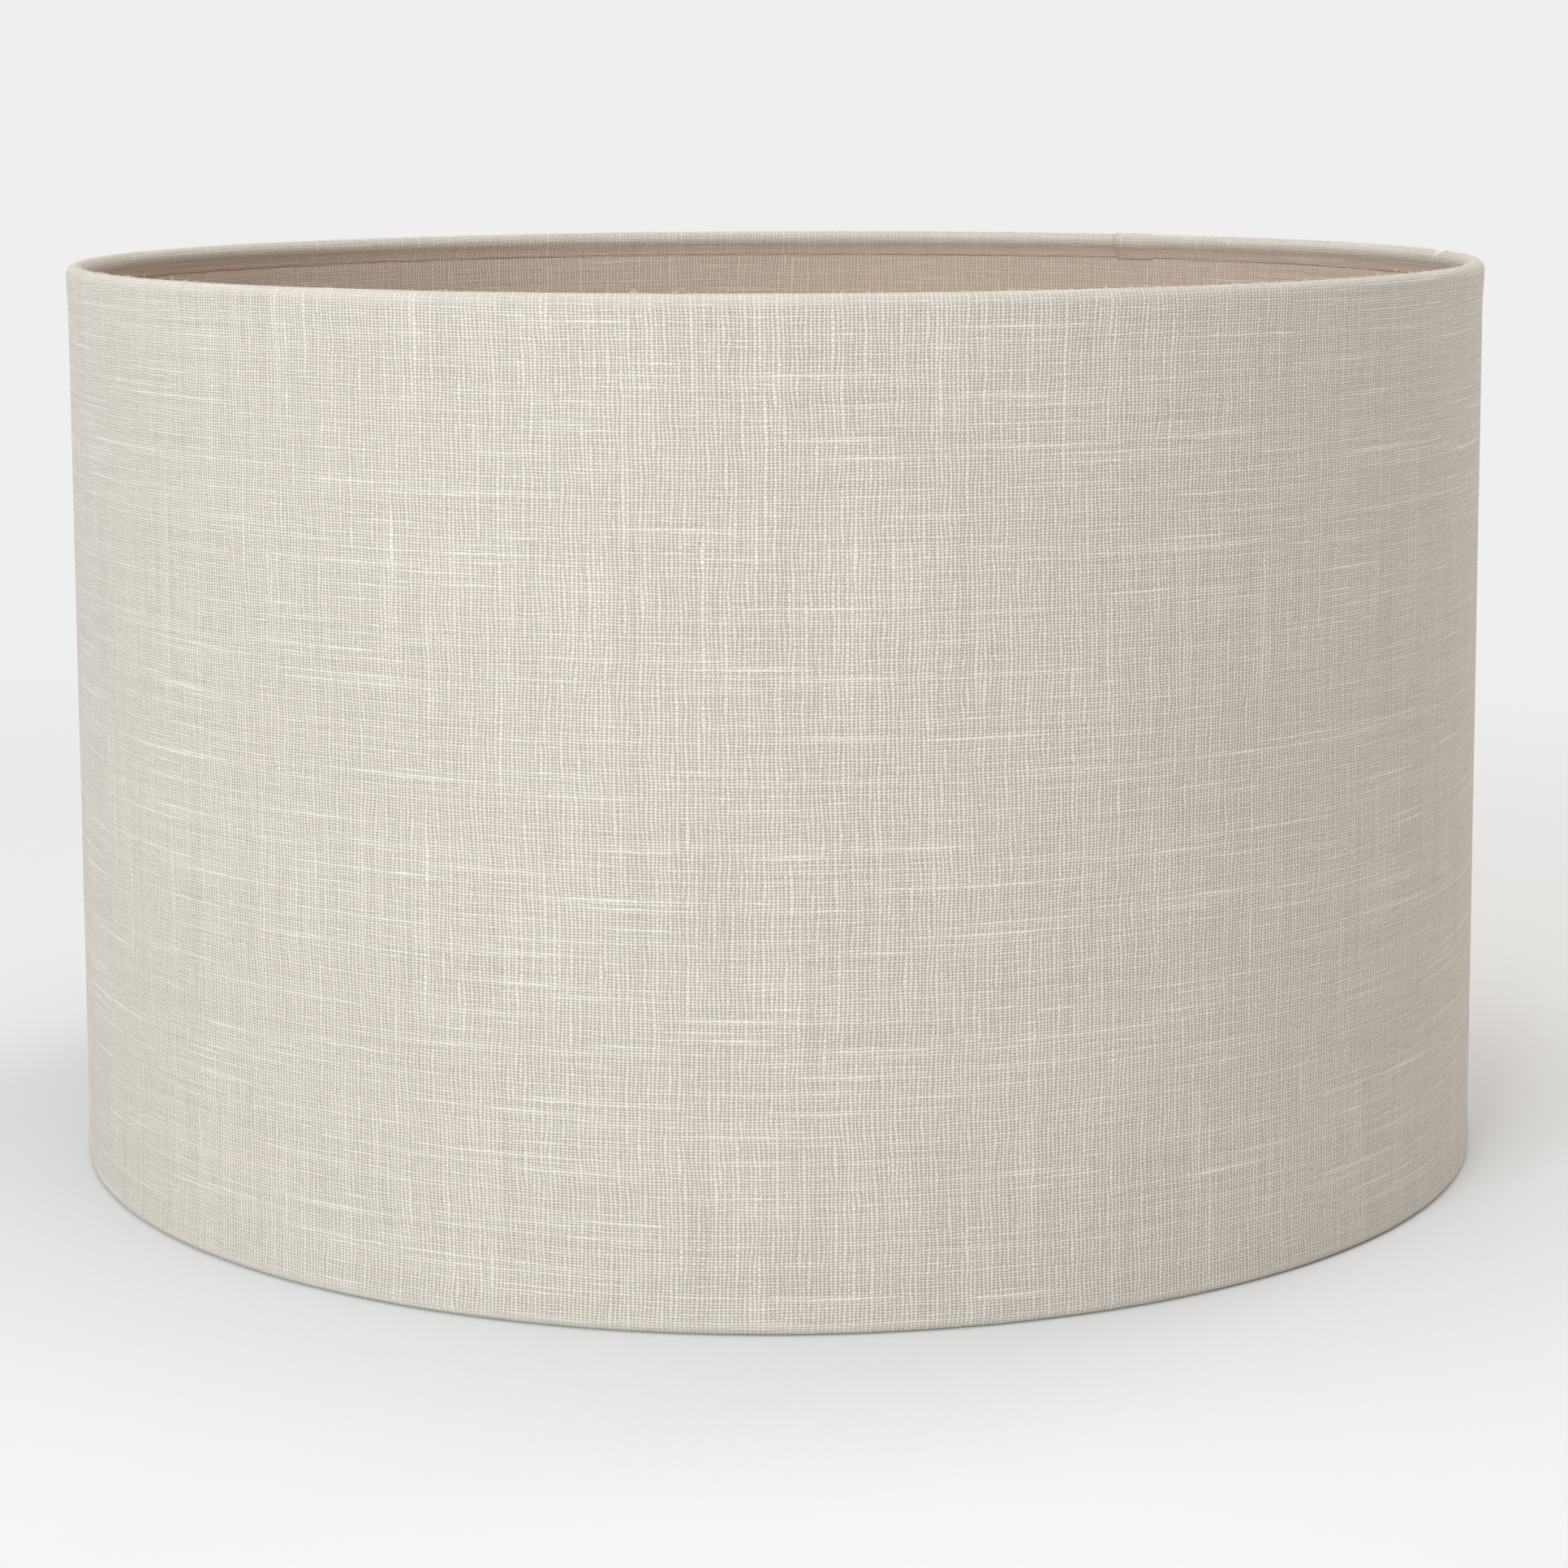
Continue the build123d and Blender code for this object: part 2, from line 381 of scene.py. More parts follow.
def linen_finish(name, shade, sizes, colours, slubs, hem=None):
    """Plain-weave linen: uneven threads over and under each other, with slubs along them.

    hem, where the cloth has one, gives the level of the flat cut's middle, how far from it
    the roll starts, and how far past that start the painted shade under the roll begins and is
    full.
    The roll loses most of the weave's painted shade, a painted lightening of the roll, and the
    part turned under the ring takes the lining's colour as painted shade.
    """
    finish = Finish(name, Sheen_Weight=0.22, Sheen_Roughness=0.45, Specular_IOR_Level=0.32)
    along, up = finish.cloth_place()
    sway = finish.noise(along * 17.0, up * 21.0, 3.1, 2.0) * 2.4
    dip = finish.noise(along * 13.0, up * 11.0, 7.7, 1.0) * 2.2
    crowd = finish.noise(along * 420.0, up * 90.0, 1.3, 2.0) * 1.45
    crush = finish.noise(along * 110.0, up * 640.0, 5.9, 2.0) * 1.30
    warp_at = along / sizes.warp_pitch + sway + crowd
    weft_at = up / sizes.weft_pitch + dip + crush
    warp_number, weft_number = warp_at.floor(), weft_at.floor()
    warp_side = warp_at.fraction() * 2.0 - 1.0
    weft_side = weft_at.fraction() * 2.0 - 1.0

    # Slubs: a thread swells for a stretch of its length
    weft_slub = finish.noise(along * 17.0, weft_number * 3.71, 11.0, 1.0).step(0.05, 0.30)
    warp_slub = finish.noise(warp_number * 2.93, up * 13.0, 23.0, 1.0).step(0.08, 0.34)
    warp_tone = finish.noise(warp_number * 0.91, up * 14.0, 31.0, 1.0)
    weft_tone = finish.noise(along * 11.0, weft_number * 0.87, 41.0, 1.0)
    lumpy = finish.noise(along * 900.0, up * 1300.0, 89.0, 1.0)
    warp_width = warp_tone * 0.44 + warp_slub * 0.26 + lumpy * 0.34 + 0.63
    weft_width = weft_tone * 0.44 + weft_slub * 0.34 - lumpy * 0.34 + 0.75

    warp_round = rounded(warp_side, warp_width)
    weft_round = rounded(weft_side, weft_width)
    crossing = (warp_at * pi).sine() * (weft_at * pi).sine()
    warp_top = warp_round * (crossing * 0.46 + 0.54 + warp_slub * 0.08)
    weft_top = weft_round * (0.54 - crossing * 0.46 + weft_slub * 0.14)
    height = warp_top.larger(weft_top)
    warp_shows = (warp_top - weft_top).step(-0.06, 0.06)

    # Fibres lie along each thread
    warp_fibre = finish.noise(along * 9000.0, up * 700.0, 53.0, 2.0)
    weft_fibre = finish.noise(along * 700.0, up * 9000.0, 59.0, 2.0)
    fibre = warp_shows * warp_fibre + (1.0 - warp_shows) * weft_fibre
    tone = warp_shows * warp_tone + (1.0 - warp_shows) * weft_tone
    slub = warp_shows * warp_slub * 0.6 + (1.0 - warp_shows * 0.55) * weft_slub

    # Bands of lighter and darker threads run up the cloth, and picks of weft across it
    band = finish.noise(along * 150.0 + sway * 0.10, up * 3.0, 67.0, 2.0)
    shot = finish.noise(along * 5.0, up * 420.0, 71.0, 2.0)
    cloud = finish.noise(along * 9.0, up * 9.0, 73.0, 2.0)
    lightness = tone * 0.20 + fibre * 0.15 + band * 0.07 + shot * 0.10 + cloud * 0.02 + 0.96
    # Painted shade and highlight across the weave: each thread darker down its sides and lighter
    # on its crown, lighter still where the warp lies on top
    painted_thread_shading = height.step(0.05, 0.95) * 0.26 + 0.79 + warp_shows * 0.055
    # Painted shade in the gaps between the threads, with gaps of uneven size: 1 on the threads, 0
    # in the painted gap shade
    uneven_gap = finish.noise(along * 1100.0, up * 1500.0, 83.0, 1.0) * 0.34
    painted_gap_shade_mask = (height + uneven_gap).step(0.06, 0.50)
    cloth_and_under_shade = shade_link(finish, shade)
    if hem:
        run = (up - hem["middle"]).size() - hem["start"]
        rolled = run.step(0.0, 1.6 * MM)
        under = run.step(hem["turned"], hem["tucked"])
        # On the roll most of the weave's painted shade and gap shade is taken away, with a slight
        # darkening of its tone: a painted lightening of the roll
        lightness = lightness - rolled * 0.02
        painted_thread_shading = painted_thread_shading * (1.0 - rolled * 0.55) + rolled * 0.53
        painted_gap_shade_mask = (painted_gap_shade_mask + rolled * 0.45).held()
        # Painted shade under the roll: the cloth turned under the ring takes the lining's colour,
        # itself painted shade
        cloth_and_under_shade = finish.mix(under, shade, colours.lining)
    thread = finish.scaled(cloth_and_under_shade, lightness * painted_thread_shading)
    thread = finish.mix(slub * slubs, thread, colours.slub)
    coloured = finish.mix(painted_gap_shade_mask, colours.gap, thread)
    rough = 0.88 - slub * 0.14 - tone * 0.10
    relief = height + fibre * 0.10 + slub * 0.18
    return finish.surface(coloured, rough, relief, WEAVE_RELIEF, 0.9)


def fibre_finish(name, shade):
    """Loose linen fibres."""
    finish = Finish(name, Sheen_Weight=0.3, Sheen_Roughness=0.4, Specular_IOR_Level=0.3)
    x, y, z = finish.object_place()
    uneven = finish.noise(x * 900.0, y * 900.0, z * 900.0, 2.0)
    fine = finish.noise(x * 6000.0, y * 6000.0, z * 6000.0, 1.0)
    light = finish.scaled(shade_link(finish, shade), uneven * 0.4 + fine * 0.2 + 1.12)
    return finish.surface(light, 0.75 - uneven * 0.2, fine, 0.02 * MM)


def shade_link(finish, shade):
    """A colour as a link, for the nodes that take no plain colour."""
    return finish.mix(0.0, shade, shade)


def coat_finish(name, shade, worn_at):
    """Powder coat: a fine orange-peel skin, dulled by dust, thin where pieces rub."""
    finish = Finish(name, Specular_IOR_Level=0.5, IOR=1.5)
    x, y, z = finish.object_place()
    peel = finish.noise(x * 1500.0, y * 1500.0, z * 1500.0, 2.0)
    pits = finish.noise(x * 5200.0, y * 5200.0, z * 5200.0, 2.0)
    dust = finish.noise(x * 60.0, y * 60.0, z * 60.0, 3.0)
    scuff = finish.noise(x * 240.0, y * 900.0, z * 420.0, 3.0, 0.65)
    across = (y * y + (z - worn_at.z) * (z - worn_at.z)).root()
    near = 1.0 - (x.size() - worn_at.x).size().step(1.2 * MM, 4.0 * MM)
    rubbed = near * (1.0 - across.step(3.0 * MM, 4.4 * MM)) * (scuff + 0.62).held()
    thin = (scuff.step(0.20, 0.30) * 0.35 + rubbed * 0.8).held()
    base = finish.scaled(shade_link(finish, shade), dust * 0.10 + pits * 0.05 + 1.0)
    coated = finish.mix(thin, base, (0.42, 0.41, 0.39))
    rough = 0.36 + dust * 0.22 + peel * 0.10 + thin * 0.18
    return finish.surface(coated, rough, peel + pits * 0.25 - thin * 0.6, 0.05 * MM, 0.6)


def zinc_finish(name, shade, axis_height):
    """Zinc plate on a turned head: rings of tool marks and a cloudy, spangled tone."""
    finish = Finish(name, Metallic=1.0)
    x, y, z = finish.object_place()
    across = (y * y + (z - axis_height) * (z - axis_height)).root()
    marks = finish.noise(across * 9000.0, x * 300.0, 0.0, 2.0)
    spangle = finish.noise(x * 700.0, y * 700.0, z * 700.0, 3.0)
    tarnish = finish.noise(x * 180.0, y * 180.0, z * 180.0, 2.0).step(0.02, 0.30)
    base = finish.scaled(shade_link(finish, shade), spangle * 0.30 + marks * 0.12 + 0.98)
    dulled = finish.mix(tarnish * 0.5, base, (0.45, 0.43, 0.39))
    rough = 0.34 + spangle * 0.22 + tarnish * 0.18
    return finish.surface(dulled, rough, marks + spangle * 0.5, 0.03 * MM, 0.5)


def plastic_finish(name, shade):
    """Moulded plastic: a spark-eroded skin with faint flow marks round the ring."""
    finish = Finish(name, Specular_IOR_Level=0.45, Subsurface_Weight=0.12)
    finish.shader.inputs["Subsurface Radius"].default_value = (1.6 * MM, 1.4 * MM, 1.2 * MM)
    x, y, z = finish.object_place()
    out = (x * x + y * y).root()
    skin = finish.noise(x * 3800.0, y * 3800.0, z * 3800.0, 2.0)
    flow = finish.noise(out * 1500.0, x * 60.0, y * 60.0, 2.0)
    dust = finish.noise(x * 90.0, y * 90.0, z * 90.0, 3.0)
    base = finish.scaled(shade_link(finish, shade), flow * 0.05 + dust * 0.08 + skin * 0.03 + 1.0)
    rough = 0.46 + skin * 0.14 + dust * 0.14
    return finish.surface(base, rough, skin * 0.8 + flow * 0.5, 0.03 * MM, 0.5)


def film_finish(name, shade, rough_at, grain):
    """Film or tape: a calendered skin with fine grain along it."""
    finish = Finish(name, Specular_IOR_Level=0.4)
    x, y, z = finish.object_place()
    skin = finish.noise(x * grain, y * grain, z * grain * 0.3, 3.0)
    patch = finish.noise(x * 40.0, y * 40.0, z * 40.0, 2.0)
    base = finish.scaled(shade_link(finish, shade), skin * 0.08 + patch * 0.06 + 1.0)
    return finish.surface(base, rough_at + skin * 0.2 + patch * 0.1, skin, 0.03 * MM, 0.5)


def finish_nodes(material, *names):
    """Gives CAD nodes a material through their objects' slots."""
    for name in names:
        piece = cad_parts[name]
        if not piece.material_slots:
            piece.data.materials.append(None)
        for slot in piece.material_slots:
            slot.link = "OBJECT"
            slot.material = material


def new_piece(name, mesh, material, body):
    """Links a finished mesh to the scene as a piece that rides on a body."""
    for face in mesh.polygons:
        face.use_smooth = True
    piece = bpy.data.objects.new(name, mesh)
    bpy.context.scene.collection.objects.link(piece)
    mesh.materials.append(material)
    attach(piece, body)
    return piece


def round_shade(radius, turn, height):
    """A place at a radius, an angle round the axis and a height."""
    return Vector((radius * cos(turn), radius * sin(turn), height))


def smooth(value, start, end):
    """0 at start, 1 at end, and smooth between them."""
    share = min(max((value - start) / (end - start), 0.0), 1.0)
    return share * share * (3.0 - 2.0 * share)


def finished_mesh(name, shape):
    """The mesh of a bmesh, which is then freed."""
    mesh = bpy.data.meshes.new(name)
    shape.to_mesh(mesh)
    shape.free()
    return mesh


def axle_place():
    """The middle of the right-hand rivet."""
    low, high = node_box("rivet_right")
    return Vector(((low.x + high.x) / 2, 0.0, HOOP_HEIGHT))


def uneven(scale, turn, height, seed):
    """Smooth noise round the shade, from about -1 to 1, that meets itself after a turn."""
    where = Vector((cos(turn) * scale, sin(turn) * scale, height * scale / RING_RADIUS))
    return noise.noise(where + Vector((seed, seed * 1.7, seed * 0.3)))


def flat_cut(columns, rows, place, keep, body):
    """A flat grid of cloth, laid out in metres on its UV map, then taken to its place.

    columns and rows are the lines of the grid on the flat cut; place takes a flat point to
    where it goes; keep says whether the cell at a flat point is cloth or is cut away; body
    gives the share of its thickness that the cloth has there.
    """
    cut = bmesh.new()
    layout = cut.loops.layers.uv.new("cloth")
    weights = cut.verts.layers.deform.verify()
    across, upward = len(columns) - 1, len(rows) - 1
    bmesh.ops.create_grid(cut, x_segments=across, y_segments=upward, size=0.5)
    for vertex in cut.verts:
        column = round((vertex.co.x + 0.5) * across)
        row = round((vertex.co.y + 0.5) * upward)
        vertex.co = (columns[column], rows[row], 0.0)
    gone = [face for face in cut.faces if not keep(*face.calc_center_median().xy)]
    bmesh.ops.delete(cut, geom=gone, context="FACES")
    for face in cut.faces:
        for loop in face.loops:
            loop[layout].uv = loop.vert.co.xy
    for vertex in cut.verts:
        vertex[weights][0] = body(*vertex.co.xy)
        vertex.co = place(*vertex.co.xy)
    return cut


def spread(start, end, count):
    """Evenly spaced lines, both ends included."""
    return [start + (end - start) * number / count for number in range(count + 1)]


def snapped(lines, wanted):
    """The lines, with the nearest one moved onto each wanted place."""
    lines = list(lines)
    for target in wanted:
        nearest = min(range(1, len(lines) - 1), key=lambda index: abs(lines[index] - target))
        lines[nearest] = target
    return sorted(lines)


def thicken(piece, thickness):
    """Gives a sheet its thickness, half on each side."""
    piece.vertex_groups.new(name="body")
    solid = piece.modifiers.new("cloth", "SOLIDIFY")
    solid.vertex_group = "body"
    solid.thickness = thickness
    solid.offset = 0.0
    solid.use_even_offset = True


def outwards(cut, level):
    """Turns a rolled cut's faces over if those nearest a level point at the axis."""
    cut.faces.ensure_lookup_table()
    cut.normal_update()
    middle = min(cut.faces, key=lambda face: abs(face.calc_center_median().z - level))
    centre = middle.calc_center_median()
    if middle.normal.dot(Vector((centre.x, centre.y, 0.0))) < 0:
        bmesh.ops.reverse_faces(cut, faces=cut.faces)


def lining_inset(sizes, turn):
    """How far the lining stands in from its wall, which is only at its own lap."""
    radius = LINING[1].x - sizes.cloth / 2
    flat_x = ((SEAM + pi + sizes.lining_lap / 2 / radius - turn) % TURN) * radius
    over = 1.0 - smooth(flat_x, sizes.lining_lap, sizes.lining_lap + LINING_RAMP)
    return over * (sizes.cloth + CLOTH_GAP)


class SHADE_OT_cover(bpy.types.Operator):
    """Cut the linen cover flat, roll it round the panel and turn its hems round the rings"""

    bl_idname = "shade.cover"
    bl_label = "Linen cover"

    def execute(self, context):
        sizes, colours = context.scene.shade_sizes, context.scene.shade_colours
        wall = PANEL[1].x + sizes.cloth / 2
        roll = TAPED_WIRE + sizes.cloth / 2
        meet = atan2((roll**2 - (wall - RING_RADIUS) ** 2) ** 0.5, wall - RING_RADIUS)
        wrapped = (meet + HEM_LEAVES) * roll
        hem = wrapped + sizes.hem_tail
        wall_low = RING_HEIGHT["bottom"] + roll * sin(meet)
        wall_high = RING_HEIGHT["top"] - roll * sin(meet)
        straight = wall_high - wall_low
        width = TURN * wall + sizes.lap
        height = straight + 2 * hem
        lap_half = sizes.lap / 2 / wall
        lift = sizes.cloth + sizes.tape_lift
        bulge = roll - (wall - RING_RADIUS)

        def turn_at(flat_x):
            return SEAM + lap_half - flat_x / wall

        def place(flat_x, flat_y):
            turn = turn_at(flat_x)
            over = 1.0 - smooth(flat_x, sizes.lap, sizes.lap + LAP_RAMP)
            if hem <= flat_y <= hem + straight:
                level = wall_low + flat_y - hem
                edge = min(level - wall_low, wall_high - level)
                raised = sizes.roll_step + (lift - sizes.roll_step) * smooth(edge, 0.0, 4 * MM)
                wave = WALL_WAVE * uneven(4.0, turn, level, 2.0) * smooth(edge, 0.0, 15 * MM)
                ragged = LAP_EDGE_RAGGED * noise.noise(Vector((level * 130.0, 4.0, 9.0)))
                free = ragged * (1.0 - smooth(flat_x, 0.0, FREE_EDGE))
                flush = bulge * (1.0 - smooth(edge, 0.0, FLUSH_RUN))
                out = wall + over * raised + wave + flush
                return round_shade(out, turn + free / wall, level)
            top = flat_y > hem
            end = "top" if top else "bottom"
            run = (flat_y - hem - straight) if top else (hem - flat_y)
            side = 1.0 if top else -1.0
            puff = ROLL_PUFF * uneven(30.0, turn, 0.02, 12.0 if top else 15.0)
            puff += ROLL_FINE_PUFF * uneven(95.0, turn, 0.05, 19.0)
            out = roll + over * sizes.roll_step + puff * smooth(run, 0.0, 1.2 * MM)
            angle = -meet + min(run, wrapped) / roll
            spot = Vector((RING_RADIUS + out * cos(max(angle, 0.0)), out * sin(angle)))
            if run > wrapped:
                share = (run - wrapped) / (hem - wrapped)
                heading = Vector((-sin(angle), cos(angle)))
                inset = lining_inset(sizes, turn)
                tail_radius = LINING[1].x - sizes.cloth - inset - CLOTH_GAP
                bend = spot + heading * (tail_radius - spot.x) / heading.x * TAIL_BEND
                lower = TAIL_LIES + TAIL_VARIES * uneven(22.0, turn, 0.0, 5.0 if top else 8.0)
                end_at = Vector((tail_radius, bend.y - sizes.hem_tail * lower))
                spot = spot.lerp(bend, share).lerp(bend.lerp(end_at, share), share)
            level = max(RING_HEIGHT[end] + side * spot.y, sizes.cloth / 2)
            return round_shade(spot.x, turn, level)

        notch_half = sizes.notch / 2
        notch_reach = hem - (meet + NOTCH_STARTS) * roll
        arm_places = [((SEAM + lap_half - turn) % TURN) * wall for turn in ARMS.values()]

        def keep(flat_x, flat_y):
            in_hem = flat_y < hem or flat_y > hem + straight
            if in_hem and flat_x > TURN * wall + HEM_OVERRUN:
                return False
            at_arm = any(abs(flat_x - arm) < notch_half for arm in arm_places)
            return not (at_arm and flat_y < notch_reach)

        wanted = [arm + side * notch_half for arm in arm_places for side in (-1, 1)]
        wanted += [sizes.lap, sizes.lap + LAP_RAMP / 2, sizes.lap + LAP_RAMP]
        wanted += [TURN * wall + HEM_OVERRUN]
        columns = snapped(spread(0.0, width, COVER_COLUMNS), wanted)
        low = snapped(spread(0.0, hem, HEM_ROWS), [notch_reach])
        high = spread(hem + straight, height, HEM_ROWS)
        rows = low[:-1] + spread(hem, hem + straight, COVER_ROWS)[:-1] + high

        def body(flat_x, flat_y):
            thinned = smooth(min(flat_y, height - flat_y), 0.0, PRESSED_WIDTH)
            return PRESSED_SHARE + (1 - PRESSED_SHARE) * thinned

        cut = flat_cut(columns, rows, place, keep, body)
        outwards(cut, (wall_low + wall_high) / 2)
        mesh = finished_mesh("linen_cover", cut)
        edges = {
            "middle": height / 2,
            "start": straight / 2,
            # Where the painted shade under the roll starts and is full
            "turned": (meet + UNDER_SHADE_STARTS) * roll,
            "tucked": (meet + UNDER_SHADE_FULL) * roll,
        }
        shade = tuple(colours.linen)
        material = linen_finish("linen_cover", shade, sizes, colours, COVER_SLUBS, edges)
        piece = new_piece("linen_cover", mesh, material, "shade")
        thicken(piece, sizes.cloth)
        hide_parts("outer_cover")
        return {"FINISHED"}


class SHADE_OT_lining(bpy.types.Operator):
    """Cut the lining flat and roll it inside the panel, with a lap where it meets itself"""

    bl_idname = "shade.lining"
    bl_label = "Lining"

    def execute(self, context):
        sizes, colours = context.scene.shade_sizes, context.scene.shade_colours
        radius = LINING[1].x - sizes.cloth / 2
        foot, height = LINING[0].z, LINING[1].z - LINING[0].z
        width = TURN * radius + sizes.lining_lap
        start = SEAM + pi + sizes.lining_lap / 2 / radius

        def place(flat_x, flat_y):
            turn = start - flat_x / radius
            over = 1.0 - smooth(flat_x, sizes.lining_lap, sizes.lining_lap + LINING_RAMP)
            inset = over * (sizes.cloth + CLOTH_GAP)
            edge = min(flat_y, height - flat_y)
            wave = LINING_WAVE * uneven(5.0, turn, flat_y, 31.0) * smooth(edge, 0.0, 12 * MM)
            ragged = LINING_EDGE_RAGGED * noise.noise(Vector((flat_y * 120.0, 14.0, 3.0)))
            free = ragged * (1.0 - smooth(flat_x, 0.0, FREE_EDGE))
            return round_shade(radius - inset + wave, turn + free / radius, foot + flat_y)

        ramp = (0.0, LINING_RAMP / 2, LINING_RAMP)
        wanted = [sizes.lining_lap + run for run in ramp]
        columns = snapped(spread(0.0, width, LINING_COLUMNS), wanted)
        rows = spread(0.0, height, LINING_ROWS)
        cut = flat_cut(columns, rows, place, lambda *flat: True, lambda *flat: 1.0)
        outwards(cut, foot + height / 2)
        mesh = finished_mesh("linen_lining", cut)
        # The lining's colour is painted shade: the cover's linen, made darker and redder for
        # inside the drum
        shade = tuple(colours.lining)
        material = linen_finish("linen_lining", shade, sizes, colours, LINING_SLUBS)
        piece = new_piece("linen_lining", mesh, material, "shade")
        thicken(piece, sizes.cloth)
        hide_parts("lining")
        return {"FINISHED"}


def strands(name, paths, radius, material):
    """Thin round strands along smooth lines, as one mesh."""
    line = bpy.data.curves.new(name, "CURVE")
    line.dimensions = "3D"
    line.bevel_depth = radius
    line.bevel_resolution = 0
    line.use_fill_caps = True
    line.resolution_u = 2
    for path in paths:
        spline = line.splines.new("NURBS")
        spline.points.add(len(path) - 1)
        for point, where in zip(spline.points, path):
            point.co = (*where, 1.0)
        spline.order_u = 3
        spline.use_endpoint_u = True
    holder = bpy.data.objects.new(name, line)
    bpy.context.scene.collection.objects.link(holder)
    bpy.context.view_layer.update()
    mesh = bpy.data.meshes.new_from_object(holder)
    mesh.materials.clear()
    bpy.data.objects.remove(holder)
    bpy.data.curves.remove(line)
    mesh.name = name
    return new_piece(name, mesh, material, "shade")


class SHADE_OT_fibres(bpy.types.Operator):
    """Add the stray fibres on the rims and wall, and the frayed end on the top rim"""

    bl_idname = "shade.fibres"
    bl_label = "Stray fibres"

    def execute(self, context):
        sizes, colours = context.scene.shade_sizes, context.scene.shade_colours
        draw = Random(FIBRE_SEED)
        outside = TAPED_WIRE + sizes.cloth
        paths = []
        for number in range(sizes.fibres):
            end = "top" if number % 5 else "bottom"
            side = 1.0 if end == "top" else -1.0
            turn = draw.uniform(0.0, TURN)
            angle = draw.gauss(1.6, 0.75)
            reach = draw.uniform(0.5, 1.5) * MM * (1.0 + 1.6 * (draw.random() < 0.06))
            swing = draw.uniform(-1.4, 1.4) * reach / RING_RADIUS
            curl = draw.uniform(-0.5, 0.5)
            path = []
            for share in (0.0, 0.3, 0.65, 1.0):
                out = outside - 0.12 * MM + reach * 0.55 * sin(share * 2.4)
                at = angle + curl * share * share
                level = RING_HEIGHT[end] + side * out * sin(at)
                level = max(level, 0.05 * MM)
                where = round_shade(RING_RADIUS + out * cos(at), turn + swing * share, level)
                path.append(where)
            paths.append(path)
        wall = PANEL[1].x + sizes.cloth
        for _ in range(sizes.wall_fibres):
            turn, level = draw.uniform(0.0, TURN), draw.uniform(*WALL_FIBRE_LEVELS)
            reach = draw.uniform(0.5, 1.6) * MM
            heading = draw.uniform(0.0, TURN)
            path = []
            for share in (0.0, 0.4, 0.8, 1.2):
                out = wall - 0.05 * MM + 0.35 * MM * sin(share * 2.5)
                shift = reach * share * cos(heading) / wall
                path.append(round_shade(out, turn + shift, level + reach * share * sin(heading)))
            paths.append(path)
        shade = tuple(min(1.0, part * 1.12) for part in colours.linen)
        material = fibre_finish("linen_fibre", shade)
        strands("stray_fibres", paths, FIBRE_RADIUS, material)

        frayed = []
        for _ in range(FRAY_STRANDS):
            start = FRAY_BEARING + draw.gauss(0.0, FRAY_SPREAD) * MM / RING_RADIUS
            lean = draw.uniform(0.8, 2.2) * MM / RING_RADIUS
            first = radians(draw.uniform(78, 112))
            last = radians(draw.uniform(158, 206))
            path = []
            for share in (0.0, 0.25, 0.5, 0.75, 1.0):
                at = first + (last - first) * share
                out = outside + (0.05 + 0.12 * draw.random()) * MM
                level = RING_HEIGHT["top"] + out * sin(at)
                path.append(round_shade(RING_RADIUS + out * cos(at), start + lean * share, level))
            frayed.append(path)
        strands("frayed_hem", frayed, FRAY_RADIUS, material)
        return {"FINISHED"}


class SHADE_OT_wall_core(bpy.types.Operator):
    """Finish the backing panel and the tapes, which lie inside the cloth"""

    bl_idname = "shade.wall_core"
    bl_label = "Panel, rings and tapes"

    def execute(self, context):
        colours = context.scene.shade_colours
        film = film_finish("panel_film", tuple(colours.film), 0.50, 700.0)
        tape = film_finish("clear_tape", tuple(colours.tape), 0.32, 1600.0)
        finish_nodes(film, "backing_panel")
        finish_nodes(tape, "seam_tape", "top_ring_tape", "bottom_ring_tape")
        return {"FINISHED"}


class SHADE_OT_carrier(bpy.types.Operator):
    """Finish the rings, hoop and arms, and add the welds that join them"""

    bl_idname = "shade.carrier"
    bl_label = "Wire carrier"

    def execute(self, context):
        sizes, colours = context.scene.shade_sizes, context.scene.shade_colours
        coat = coat_finish("white_powder_coat", tuple(colours.coat), axle_place())
        finish_nodes(coat, "top_ring", "bottom_ring", "carrier_hoop", *ARMS)
        beads = bmesh.new()
        climb = Vector((-sizes.arm_run, 0.0, HOOP_HEIGHT - RING_HEIGHT["bottom"])).normalized()
        wire = HOOP_WIRE / 2
        for number, turn in enumerate(ARMS.values()):
            foot = Vector((RING_RADIUS, 0.0, RING_HEIGHT["bottom"])) + climb * (RING_WIRE / 2)
            seat = Vector((HOOP_RADIUS + wire, 0.0, HOOP_HEIGHT))
            for where, along, size in ((foot, climb, 0.92), (seat, Vector((1, 0, 0)), 1.0)):
                made = bmesh.ops.create_icosphere(beads, subdivisions=4, radius=1.0)
                aim = along.to_track_quat("Z", "Y").to_matrix().to_4x4()
                for vertex in made["verts"]:
                    rough = noise.noise(vertex.co * 2.3 + Vector((number * 5.0, where.x * 90, 1)))
                    swell = 1.0 + BEAD_UNEVEN * rough
                    across = wire * BEAD_WIDTH * size * swell
                    bead = Vector((vertex.co.x * across, vertex.co.y * across, 0.0))
                    bead.z = vertex.co.z * wire * BEAD_LENGTH * swell
                    vertex.co = Matrix.Rotation(turn, 3, "Z") @ (where + (aim @ bead))
        mesh = finished_mesh("weld_beads", beads)
        new_piece("weld_beads", mesh, coat, "shade")
        return {"FINISHED"}


